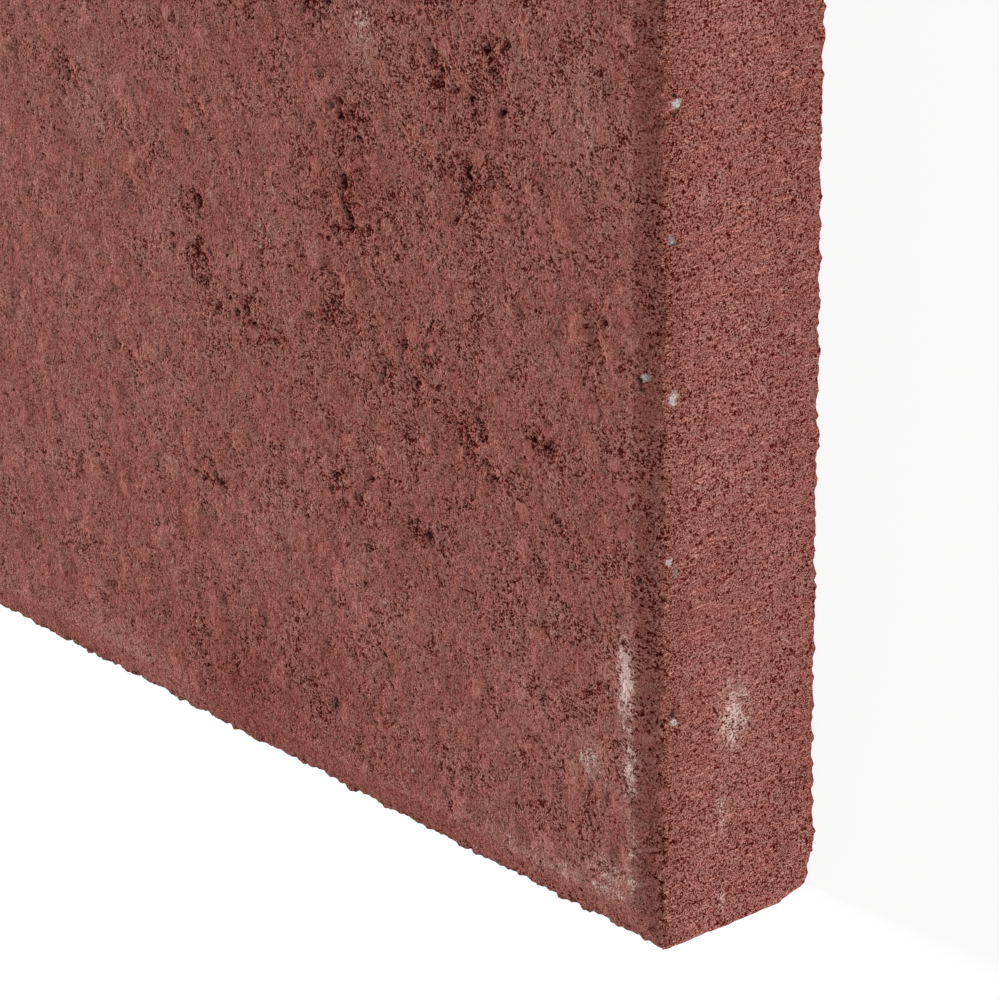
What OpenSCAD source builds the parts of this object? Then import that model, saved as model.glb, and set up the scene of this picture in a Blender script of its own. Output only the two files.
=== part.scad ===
// Square concrete paving stone: one dry-cast slab with a shallow bevel round its walking face.
// Millimetres, +Z up. The slab lies flat, and the origin is at the middle of its underside.

/* [Slab] */
// Length of the slab along X
slab_length = 300; // [150:1:600]
// Width of the slab along Y
slab_width = 300; // [150:1:600]
// Thickness of the slab, from its bed to its walking face
slab_thickness = 40; // [30:1:80]

/* [Bevel] */
// How far the bevel reaches in from the side, seen from above
bevel_width = 6; // [2:0.5:20]
// How far the bevel drops below the walking face
bevel_drop = 2; // [0.5:0.1:10]

/* [Edges] */
// Radius of the eased arrises at the top and the foot of the bevel
arris_radius = 1; // [0.2:0.1:2]
// Radius of the upright corners between two sides
corner_radius = 1.5; // [0.5:0.1:10]
// Radius of the rounded edge between the sides and the underside
base_radius = 2; // [0.5:0.1:8]

/* [Hidden] */
// Straight steps that make up each rounded edge
edge_steps = 6;
concrete_red = [0.51, 0.31, 0.28];

function unit(v) = v / norm(v);

// Points of the arc that rounds one convex corner of an outline, between the corner's two neighbours
function eased_corner(before, corner, after, radius) =
    let (
        back = unit(before - corner),
        ahead = unit(after - corner),
        half_angle = acos(back * ahead) / 2,
        inward = unit(back + ahead),
        centre = corner + inward * radius / sin(half_angle),
        sweep = 180 - 2 * half_angle,
        middle = atan2(-inward.y, -inward.x)
    )
    [for (i = [0:edge_steps])
        let (angle = middle + sweep * (i / edge_steps - 0.5))
        centre + radius * [cos(angle), sin(angle)]];

// A convex outline, given anticlockwise, with a radius for each of its corners
function eased_outline(corners, radii) =
    let (count = len(corners))
    [for (i = [0:count - 1])
        each eased_corner(corners[(i + count - 1) % count], corners[i], corners[(i + 1) % count], radii[i])];

// Upright section across the slab: flat bed, plumb sides, and a bevel down from each edge of the top
module section(span) {
    side = span / 2;
    top = slab_thickness;
    bevel_foot = top - bevel_drop;
    polygon(eased_outline(
        [[-side, 0], [side, 0],
         [side, bevel_foot], [side - bevel_width, top],
         [bevel_width - side, top], [-side, bevel_foot]],
        [base_radius, base_radius, arris_radius, arris_radius, arris_radius, arris_radius]));
}

// The slab seen from above, with its upright corners rounded
module plan() {
    x = slab_length / 2;
    y = slab_width / 2;
    polygon(eased_outline(
        [[-x, -y], [x, -y], [x, y], [-x, y]],
        [for (i = [0:3]) corner_radius]));
}

// The bevels of neighbouring sides meet in a mitre, where the two sections cross
module paving_stone() {
    color(concrete_red)
    intersection() {
        rotate([90, 0, 90])
            linear_extrude(height = slab_length, center = true)
                section(slab_width);
        rotate([90, 0, 0])
            linear_extrude(height = slab_width, center = true)
                section(slab_length);
        linear_extrude(height = slab_thickness)
            plan();
    }
}

paving_stone();
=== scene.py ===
"""Red concrete paving stone: one dry-cast slab with sandy, pitted faces and a shallow bevel round the top.

The slab is cast, worn and marked in millimetres, and its mesh is turned to metres when it is finished.
"""

import logging
import math
import random
from dataclasses import dataclass, field
from enum import Enum

import bmesh
import bpy
import numpy as np
from mathutils import Matrix, Vector, kdtree, noise


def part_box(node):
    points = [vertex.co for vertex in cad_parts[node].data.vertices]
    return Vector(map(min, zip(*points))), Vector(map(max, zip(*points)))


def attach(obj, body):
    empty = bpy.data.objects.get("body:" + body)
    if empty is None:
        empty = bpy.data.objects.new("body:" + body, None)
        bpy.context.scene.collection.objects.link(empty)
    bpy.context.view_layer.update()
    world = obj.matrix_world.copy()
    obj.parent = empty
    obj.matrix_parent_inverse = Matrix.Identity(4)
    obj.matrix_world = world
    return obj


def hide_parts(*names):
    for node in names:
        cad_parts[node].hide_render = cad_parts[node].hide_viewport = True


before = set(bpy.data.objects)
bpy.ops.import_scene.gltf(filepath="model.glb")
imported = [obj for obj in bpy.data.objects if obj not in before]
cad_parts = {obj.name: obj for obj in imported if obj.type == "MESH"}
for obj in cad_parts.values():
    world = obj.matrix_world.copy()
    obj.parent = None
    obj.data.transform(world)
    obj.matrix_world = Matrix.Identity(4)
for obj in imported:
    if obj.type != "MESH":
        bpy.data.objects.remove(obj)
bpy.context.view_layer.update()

MM = 0.001
SEED_WAY = (1.0, 2.3, -1.7)
LOG = logging.getLogger("paving_stone")

Colour = tuple[float, float, float]
Place = tuple[float, float, float]
Span = tuple[float, float]
Socket = bpy.types.NodeSocket


class Sign(Enum):
    """What a mark on the stone does to its surface."""

    BLOOM = "bloom"
    OPEN = "open"
    SHADE = "shade"


@dataclass(frozen=True)
class Mark:
    """A soft-edged patch on the stone.

    Attributes:
        sign: What shows there.
        at: The middle of the patch, in millimetres.
        reach: How far it fades out along X, Y and Z, in millimetres.
        strength: How strong it is in the middle, from 0 to 1, or below 0 for the opposite.
    """

    sign: Sign
    at: Place
    reach: Place
    strength: float

    def weight(self, points: np.ndarray) -> np.ndarray:
        """Strength of the patch at each point, in a bell shape."""
        away = (points - np.array(self.at)) / np.array(self.reach)
        return self.strength * np.exp(-np.sum(away * away, axis=1))


def smooth_noise(points: np.ndarray, size: float, seed: float) -> np.ndarray:
    """Smooth lumpy noise between about -1 and 1.

    Args:
        points: Places in millimetres, one in each row.
        size: Width of a lump, in millimetres.
        seed: Where in the noise this layer is taken from.

    Returns:
        One value for each point.
    """
    shifted = points / size + seed * np.array(SEED_WAY)
    return np.array([noise.noise(point) for point in shifted.tolist()])


def fade(values: np.ndarray, start: float, end: float) -> np.ndarray:
    """Goes smoothly from 0 where a value is at start to 1 where it is at end."""
    share = np.clip((values - start) / (end - start), 0.0, 1.0)
    return share * share * (3.0 - 2.0 * share)


@dataclass(frozen=True)
class Relief:
    """One layer of lumps.

    Attributes:
        lump: Width of a lump, in millimetres.
        height: How far the tallest stand out.
        seed: Where in the noise the layer is taken from.
    """

    lump: float
    height: float
    seed: float

    def heights(self, points: np.ndarray) -> np.ndarray:
        """Height of this layer at each point."""
        return self.height * smooth_noise(points, self.lump, self.seed)


@dataclass(frozen=True)
class Hole:
    """A void between the grains.

    Attributes:
        at: Its middle, in millimetres.
        radius: Its radius, in millimetres.
        depth: How deep it goes, in millimetres.
    """

    at: Place
    radius: float
    depth: float


@dataclass(frozen=True)
class Pebble:
    """A pebble that swells the cement over it.

    Attributes:
        at: Its middle, in millimetres.
        radius: Its radius, in millimetres.
        height: How far it lifts the cement, in millimetres.
        kind: A number from 0 to 1 that picks its tint.
    """

    at: Place
    radius: float
    height: float
    kind: float


@dataclass(frozen=True)
class Knock:
    """A corner that is knocked round.

    Attributes:
        at: The corner, in millimetres.
        reach: How far from it the wear goes, in millimetres.
        passes: How many passes of wear it has had.
    """

    at: Place
    reach: float
    passes: int


@dataclass
class PavingStone:
    """The slab, with the steps that cast, wear and mark it. Lengths are in millimetres.

    Attributes:
        length: Size along X.
        width: Size along Y.
        thickness: Size along Z.
        bevel_width: How far the bevel reaches in from the sides.
        bevel_drop: How far down the bevel goes.
        edge_radius: Radius of the cast edges.
        edge_segments: How many faces go round such an edge.
        edge_band: How near the edges the mesh is made finer.
        edge_cuts: How many times each side of a face is cut there.
        arris_reach: How far from the trodden arris it is worn round.
        arris_passes: How many passes of that wear there are.
        base_reach: How far from the edges of the base they are worn round.
        base_passes: How many passes of that wear there are.
        smoothing: How far one pass of wear takes a vertex to the middle of its neighbours.
        trodden_in: How far in from +X the trodden side ends and has its full wear.
        trodden_ends: How far from its corners it starts and has its full wear.
        band_middle: How far below the arris the darkened band lies.
        band_reach: Width of that band.
        band_slope: How fast the band ends over the bevel.
        corner_reach: How far from an upright corner the relief is calmer.
        rough_plain: How strong the relief is everywhere.
        rough_walking: How much stronger it is on the walking face.
        rough_side: How much stronger it is on the sides.
        bed_calm: How much of the relief the bed lacks.
        corner_calm: How much of it the upright corners lack.
        pebble_calm: How much of the grain a pebble lacks.
        walking_start: Where the walking face's full relief starts, in bevel widths.
        arris_wear: How far from an arris lumps break off.
        arris_broken: How much breaks off there.
        arris_plain: Share of that on the sides that aren't trodden.
        base_wear: How far from an edge of the base lumps break off.
        base_broken: How much breaks off there.
        crumb_band: How far from an edge single grains break out.
        arris_crumbs: How many grains an arris loses, where 1 is all.
        corner_crumbs: How many grains an upright corner loses.
        crumb_lift: How far the grains that are left stand out.
        corner_lift: How far they stand out at an upright corner.
        pebbles: How many pebbles lie under the walking face.
        pebble_radius: Radius of the smallest and of the largest.
        pebble_height: How far the lowest and the tallest stand out.
        pebble_search: How far from a pebble its outline can reach, in radii.
        loose_voids: How many voids lie anywhere on the walking face.
        loose_scale: How large they are, where 1 is a large one.
        patch_voids: How many voids lie in a fully open patch.
        patch_spread: How far they scatter, as a share of the patch's reach.
        void_size: Least and most radius and depth of the holes in a large void.
        void_holes: Most holes in a void.
        void_step: How far apart they are, in radii.
        void_turn: How far a void turns from hole to hole, in radians.
        void_search: How far from a hole its outline can reach, in radii.
        void_full: How deep a void is that the finish shows at its darkest.
        pitch: Width of the mesh's faces before it is thinned.
        triangle_limit: How many triangles the thinned mesh has.
        seed: Where the chances start from.
        marks: Patches on it.
        knocks: Corners that are knocked round.
    """

    length: float
    width: float
    thickness: float
    bevel_width: float = 6.5
    bevel_drop: float = 2.0
    edge_radius: float = 0.5
    edge_segments: int = 3
    edge_band: float = 2.0
    edge_cuts: int = 2
    arris_reach: float = 6.0
    arris_passes: int = 24
    base_reach: float = 4.0
    base_passes: int = 12
    smoothing: float = 0.5
    trodden_in: Span = (12.0, 8.0)
    trodden_ends: Span = (2.0, 14.0)
    band_middle: float = 2.0
    band_reach: float = 3.5
    band_slope: float = 1.4
    corner_reach: float = 4.0
    rough_plain: float = 0.40
    rough_walking: float = 0.60
    rough_side: float = 0.30
    bed_calm: float = 0.95
    corner_calm: float = 0.6
    pebble_calm: float = 0.6
    walking_start: float = 1.6
    arris_wear: float = 1.8
    arris_broken: float = 0.8
    arris_plain: float = 0.3
    base_wear: float = 1.6
    base_broken: float = 0.5
    crumb_band: float = 1.4
    arris_crumbs: float = 0.9
    corner_crumbs: float = 0.15
    crumb_lift: float = 0.15
    corner_lift: float = 0.3
    pebbles: int = 340
    pebble_radius: Span = (1.6, 3.4)
    pebble_height: Span = (0.25, 0.6)
    pebble_search: float = 1.6
    loose_voids: int = 300
    loose_scale: float = 0.7
    patch_voids: int = 14
    patch_spread: float = 0.55
    void_size: Span = (0.5, 0.9)
    void_holes: int = 4
    void_step: float = 1.1
    void_turn: float = 0.9
    void_search: float = 1.5
    void_full: float = 0.8
    pitch: float = 0.75
    triangle_limit: int = 135_000
    seed: int = 24
    marks: list[Mark] = field(default_factory=list)
    knocks: list[Knock] = field(default_factory=list)

    BROAD = Relief(lump=45.0, height=0.22, seed=3.1)
    LUMPS = Relief(lump=5.0, height=0.42, seed=11.7)
    GRAIN = Relief(lump=2.3, height=0.42, seed=29.3)
    SAND = Relief(lump=1.1, height=0.15, seed=47.9)
    BREAKS = Relief(lump=3.4, height=0.6, seed=71.3)
    CRUMBS = Relief(lump=1.6, height=0.85, seed=83.9)
    SPECKS = Relief(lump=0.75, height=0.45, seed=91.1)
    PEBBLE_EDGE = Relief(lump=2.0, height=0.5, seed=17.9)
    VOID_EDGE = Relief(lump=1.0, height=0.4, seed=5.3)

    # How far up a normal points where a face starts and ends to count as this.
    UPWARD = 0.6
    LEVEL = (0.5, 0.9)
    UPRIGHT = (0.7, 0.3)
    SIDEWAYS = (0.9, 0.5)
    DOWNWARD = (0.6, 0.9)

    def build(self) -> bpy.types.Object:
        """Makes the finished mesh.

        Returns:
            The slab's object, at the origin, in metres.
        """
        mesh = self._even_mesh(self._cast())
        self._true_up(mesh)
        self._ease(mesh)
        self._roughen(mesh)
        mesh = self._thinned(mesh)
        self._finer_edges(mesh)
        self._crumble(mesh)
        self._mark(mesh)
        mesh.transform(Matrix.Scale(MM, 4))
        mesh.polygons.foreach_set("use_smooth", [True] * len(mesh.polygons))
        mesh.name = "paving_stone_body"
        stone = bpy.data.objects.new("paving_stone_body", mesh)
        bpy.context.scene.collection.objects.link(stone)
        return stone

    def _cast(self) -> bpy.types.Mesh:
        """Casts the plain block, with its bevel and eased edges.

        Returns:
            A mesh of a few faces.
        """
        bm = bmesh.new()
        bmesh.ops.create_cube(bm, size=1.0)
        bmesh.ops.scale(bm, vec=(self.length, self.width, self.thickness), verts=bm.verts)
        bmesh.ops.translate(bm, vec=(0.0, 0.0, self.thickness / 2), verts=bm.verts)
        top = max(bm.faces, key=lambda face: face.calc_center_median().z)
        bmesh.ops.inset_region(bm, faces=[top], thickness=self.bevel_width, use_even_offset=True)
        rim = [v for v in bm.verts if v.co.z > self.thickness / 2 and v not in top.verts]
        bmesh.ops.translate(bm, vec=(0.0, 0.0, -self.bevel_drop), verts=rim)
        foot = self.thickness - self.bevel_drop
        eased = [edge for edge in bm.edges if min(v.co.z for v in edge.verts) < foot / 2]
        eased += [edge for edge in bm.edges if all(v in rim for v in edge.verts)]
        bmesh.ops.bevel(
            bm, geom=eased, offset=self.edge_radius, offset_type="OFFSET", affect="EDGES",
            segments=self.edge_segments, profile=0.5, material=-1,
        )
        mesh = bpy.data.meshes.new("cast_block")
        bm.to_mesh(mesh)
        bm.free()
        return mesh

    def _even_mesh(self, block: bpy.types.Mesh) -> bpy.types.Mesh:
        """Covers the block with an even net of small faces.

        Args:
            block: The plain block.

        Returns:
            The same shape as a dense mesh.
        """
        return self._modified(block, "REMESH", mode="VOXEL", voxel_size=self.pitch)

    def _true_up(self, mesh: bpy.types.Mesh) -> None:
        """Puts the walking face and the bevel back where the even net has rounded them."""
        points = self._points(mesh)
        inset = self._inset(points)
        upward = (self._normals(mesh)[:, 2] > self.UPWARD) & (inset > self.pitch + self.edge_radius)
        slope = np.clip(1.0 - inset / self.bevel_width, 0.0, 1.0)
        points[upward, 2] = self.thickness - self.bevel_drop * slope[upward]
        mesh.vertices.foreach_set("co", points.ravel())
        mesh.update()

    def _thinned(self, mesh: bpy.types.Mesh) -> bpy.types.Mesh:
        """Takes triangles away where the surface is plain, down to the limit."""
        triangles = sum(len(face.vertices) - 2 for face in mesh.polygons)
        share = min(1.0, self.triangle_limit / triangles)
        return self._modified(mesh, "DECIMATE", ratio=share)

    @staticmethod
    def _modified(mesh: bpy.types.Mesh, kind: str, **settings: float | str) -> bpy.types.Mesh:
        """Runs one modifier on a mesh.

        Args:
            mesh: The mesh to change, which is removed.
            kind: The modifier's type.
            **settings: Its settings.

        Returns:
            The new mesh.
        """
        worker = bpy.data.objects.new("worker", mesh)
        bpy.context.scene.collection.objects.link(worker)
        modifier = worker.modifiers.new(kind.title(), kind)
        for name, value in settings.items():
            setattr(modifier, name, value)
        graph = bpy.context.evaluated_depsgraph_get()
        result = bpy.data.meshes.new_from_object(worker.evaluated_get(graph))
        bpy.data.objects.remove(worker)
        bpy.data.meshes.remove(mesh)
        return result

    @staticmethod
    def _points(mesh: bpy.types.Mesh) -> np.ndarray:
        """The mesh's vertices, one in each row."""
        flat = np.empty(len(mesh.vertices) * 3)
        mesh.vertices.foreach_get("co", flat)
        return flat.reshape(-1, 3)

    @staticmethod
    def _normals(mesh: bpy.types.Mesh) -> np.ndarray:
        """The mesh's vertex normals, one in each row."""
        flat = np.empty(len(mesh.vertices) * 3)
        mesh.vertex_normals.foreach_get("vector", flat)
        return flat.reshape(-1, 3)

    @staticmethod
    def _write(mesh: bpy.types.Mesh, name: str, values: np.ndarray) -> None:
        """Stores one number for each vertex, for the finish to read."""
        layer = mesh.attributes.new(name, "FLOAT", "POINT")
        layer.data.foreach_set("value", values.astype(np.float32))

    def _inset(self, points: np.ndarray) -> np.ndarray:
        """How far each point is in from the nearest side of the slab."""
        return np.minimum(self.length / 2 - np.abs(points[:, 0]), self.width / 2 - np.abs(points[:, 1]))

    def _arris(self, points: np.ndarray) -> np.ndarray:
        """How far each point is from the arris at the foot of the bevel."""
        foot = self.thickness - self.bevel_drop
        return np.hypot(self._inset(points), points[:, 2] - foot)

    def _trodden(self, points: np.ndarray) -> np.ndarray:
        """1 along the worn side at +X, fading out towards its corners, and 0 elsewhere."""
        inward = self.length / 2 - points[:, 0]
        ends = self.width / 2 - np.abs(points[:, 1])
        return fade(inward, *self.trodden_in) * fade(ends, *self.trodden_ends)

    def _ease(self, mesh: bpy.types.Mesh) -> None:
        """Rounds the trodden arris, the edges of the base and the knocked corners."""
        points = self._points(mesh)
        arris, base, _ = self._edges(points)
        worn = [
            ((arris < self.arris_reach) & (self._trodden(points) > 0.5), self.arris_passes),
            (base < self.base_reach, self.base_passes),
        ]
        for knock in self.knocks:
            worn.append((np.linalg.norm(points - np.array(knock.at), axis=1) < knock.reach, knock.passes))
        bm = bmesh.new()
        bm.from_mesh(mesh)
        bm.verts.ensure_lookup_table()
        for chosen, passes in worn:
            soft = [bm.verts[index] for index in np.flatnonzero(chosen)]
            for _ in range(passes):
                bmesh.ops.smooth_vert(
                    bm, verts=soft, factor=self.smoothing, use_axis_x=True, use_axis_y=True, use_axis_z=True,
                )
        bm.to_mesh(mesh)
        bm.free()

    def _roughen(self, mesh: bpy.types.Mesh) -> None:
        """Moves the vertices in and out as the cast surface goes, and stores where voids and pebbles lie.

        Args:
            mesh: The dense mesh, which is changed.
        """
        points = self._points(mesh)
        normals = self._normals(mesh)
        inset = self._inset(points)
        walking = fade(inset, self.bevel_width, self.walking_start * self.bevel_width)
        walking *= fade(normals[:, 2], *self.LEVEL)
        side = fade(np.abs(normals[:, 2]), *self.UPRIGHT)
        under = fade(-normals[:, 2], *self.DOWNWARD)
        upright = np.exp(-((self._edges(points)[2] / self.corner_reach) ** 2))
        strength = self.rough_plain + self.rough_walking * walking + self.rough_side * side
        strength *= (1.0 - self.bed_calm * under) * (1.0 - self.corner_calm * upright)
        tree = self._tree(points)
        swell, pebble, kind = self._swells(points, tree)
        grain = (1.0 - self.pebble_calm * pebble) * (self.GRAIN.heights(points) + self.SAND.heights(points))
        lift = self.BROAD.heights(points) + strength * (self.LUMPS.heights(points) + grain) + swell
        wear = np.exp(-((self._arris(points) / self.arris_wear) ** 2))
        wear *= self.arris_plain + (1.0 - self.arris_plain) * self._trodden(points)
        base = np.exp(-((np.hypot(inset, points[:, 2]) / self.base_wear) ** 2))
        lift -= (self.arris_broken * wear + self.base_broken * base) * self.BREAKS.heights(points)
        hollow = self._hollows(points, tree)
        lift -= hollow
        moved = points + normals * lift[:, None]
        moved[:, 2] = np.maximum(moved[:, 2], 0.0)
        mesh.vertices.foreach_set("co", moved.ravel())
        mesh.update()
        self._write(mesh, "hollow", np.clip(hollow / self.void_full, 0.0, 1.0))
        self._write(mesh, "pebble", pebble)
        self._write(mesh, "kind", kind)

    def _edges(self, points: np.ndarray) -> tuple[np.ndarray, np.ndarray, np.ndarray]:
        """How far each point is from the nearest arris, base edge and upright corner.

        Args:
            points: Places in millimetres, one in each row.

        Returns:
            The three distances of each point.
        """
        inset_x = self.length / 2 - np.abs(points[:, 0])
        inset_y = self.width / 2 - np.abs(points[:, 1])
        return self._arris(points), np.hypot(self._inset(points), points[:, 2]), np.hypot(inset_x, inset_y)

    def _finer_edges(self, mesh: bpy.types.Mesh) -> None:
        """Splits the faces along the slab's edges, so that they can crumble finely."""
        near = np.min(self._edges(self._points(mesh)), axis=0) < self.edge_band
        bm = bmesh.new()
        bm.from_mesh(mesh)
        split = [edge for edge in bm.edges if all(near[v.index] for v in edge.verts)]
        bmesh.ops.subdivide_edges(bm, edges=split, cuts=self.edge_cuts, use_grid_fill=True)
        bmesh.ops.triangulate(bm, faces=bm.faces)
        bm.to_mesh(mesh)
        bm.free()

    def _crumble(self, mesh: bpy.types.Mesh) -> None:
        """Breaks grains out of the slab's edges."""
        points = self._points(mesh)
        normals = self._normals(mesh)
        arris, base, corner = (np.exp(-((away / self.crumb_band) ** 2)) for away in self._edges(points))
        near = np.maximum(np.maximum(self.arris_crumbs * arris, base), self.corner_crumbs * corner)
        grains = self.CRUMBS.heights(points) + self.SPECKS.heights(points)
        lift = near * (grains + self.crumb_lift) + self.corner_lift * corner
        moved = points + normals * lift[:, None]
        moved[:, 2] = np.maximum(moved[:, 2], 0.0)
        mesh.vertices.foreach_set("co", moved.ravel())
        mesh.update()

    @staticmethod
    def _tree(points: np.ndarray) -> kdtree.KDTree:
        """Sorts the points, so that those near a place are found fast."""
        tree = kdtree.KDTree(len(points))
        for index, point in enumerate(points.tolist()):
            tree.insert(point, index)
        tree.balance()
        return tree

    def _swells(self, points: np.ndarray, tree: kdtree.KDTree) -> tuple[np.ndarray, np.ndarray, np.ndarray]:
        """Lays pebbles under the walking face.

        Args:
            points: The mesh's points, in millimetres.
            tree: The same points, sorted.

        Returns:
            For each point how far it is lifted, how far on a pebble it lies from 0 to 1, and that pebble's
            kind.
        """
        dice = random.Random(self.seed + 1)
        half_x = self.length / 2 - self.bevel_width
        half_y = self.width / 2 - self.bevel_width
        ragged = 1.0 + self.PEBBLE_EDGE.heights(points)
        lift, share, kind = np.zeros(len(points)), np.zeros(len(points)), np.full(len(points), 0.5)
        for _ in range(self.pebbles):
            at = (dice.uniform(-half_x, half_x), dice.uniform(-half_y, half_y), self.thickness)
            radius = dice.uniform(*self.pebble_radius)
            pebble = Pebble(at, radius, dice.uniform(*self.pebble_height), dice.random())
            for _, index, away in tree.find_range(pebble.at, self.pebble_search * pebble.radius):
                here = max(0.0, 1.0 - (away * ragged[index] / pebble.radius) ** 2)
                if here > share[index]:
                    lift[index], share[index], kind[index] = pebble.height * here, here, pebble.kind
        return lift, share, kind

    def _hollows(self, points: np.ndarray, tree: kdtree.KDTree) -> np.ndarray:
        """How deep the voids take each point below the surface, in millimetres."""
        ragged = 1.0 + self.VOID_EDGE.heights(points)
        depth = np.zeros(len(points))
        for hole in self._holes():
            for _, index, away in tree.find_range(hole.at, self.void_search * hole.radius):
                share = max(0.0, 1.0 - (away * ragged[index] / hole.radius) ** 2)
                depth[index] = max(depth[index], hole.depth * share)
        return depth

    def _holes(self) -> list[Hole]:
        """Scatters voids over the slab, most of them in the open patches.

        Returns:
            The voids, in a fixed order.
        """
        dice = random.Random(self.seed)
        holes: list[Hole] = []
        half_x = self.length / 2 - self.bevel_width
        half_y = self.width / 2 - self.bevel_width
        for _ in range(self.loose_voids):
            x = dice.uniform(-half_x, half_x)
            y = dice.uniform(-half_y, half_y)
            holes += self._void(dice, x, y, self.loose_scale)
        for mark in self.marks:
            if mark.sign is Sign.OPEN:
                for _ in range(int(self.patch_voids * mark.strength)):
                    x = dice.gauss(mark.at[0], self.patch_spread * mark.reach[0])
                    y = dice.gauss(mark.at[1], self.patch_spread * mark.reach[1])
                    holes += self._void(dice, x, y, 1.0)
        return holes

    def _void(self, dice: random.Random, x: float, y: float, scale: float) -> list[Hole]:
        """One crooked void in the walking face, as a short chain of small holes.

        Args:
            dice: Where its chances come from.
            x: Where it starts, along the length.
            y: Where it starts, along the width.
            scale: How large it is, where 1 is a large one.

        Returns:
            The holes of the chain.
        """
        chain: list[Hole] = []
        heading = dice.uniform(0.0, math.tau)
        for _ in range(dice.randint(1, self.void_holes)):
            radius = scale * dice.uniform(*self.void_size)
            chain.append(Hole((x, y, self.thickness), radius, scale * dice.uniform(*self.void_size)))
            heading += dice.uniform(-self.void_turn, self.void_turn)
            x += self.void_step * radius * math.cos(heading)
            y += self.void_step * radius * math.sin(heading)
        return chain

    def _mark(self, mesh: bpy.types.Mesh) -> None:
        """Stores what the finish reads: upright faces, the band below the arris that it darkens, the inset
        and the marks.
        """
        points = self._points(mesh)
        normals = self._normals(mesh)
        self._write(mesh, "side", fade(np.abs(normals[:, 2]), *self.SIDEWAYS))
        inset = self._inset(points)
        below = np.maximum(self.thickness - self.bevel_drop - points[:, 2], 0.0)
        along = below - self.band_slope * np.maximum(inset, 0.0) - self.band_middle
        # A band below the arris, which the finish makes darker and duller.
        self._write(mesh, "worn", np.exp(-((along / self.band_reach) ** 2)))
        self._write(mesh, "inset", inset)
        for sign in Sign:
            total = np.zeros(len(points))
            for mark in self.marks:
                if mark.sign is sign:
                    total += mark.weight(points)
            self._write(mesh, sign.value, np.clip(total, -1.0, 1.0))


@dataclass(frozen=True)
class Swing:
    """How one number follows another, smoothly and no further than its ends.

    Attributes:
        start: What the other number is where this one is low.
        end: What the other number is where this one is high.
        low: The first end of this number.
        high: The second end of this number.
    """

    start: float
    end: float
    low: float = 0.0
    high: float = 1.0


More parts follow.
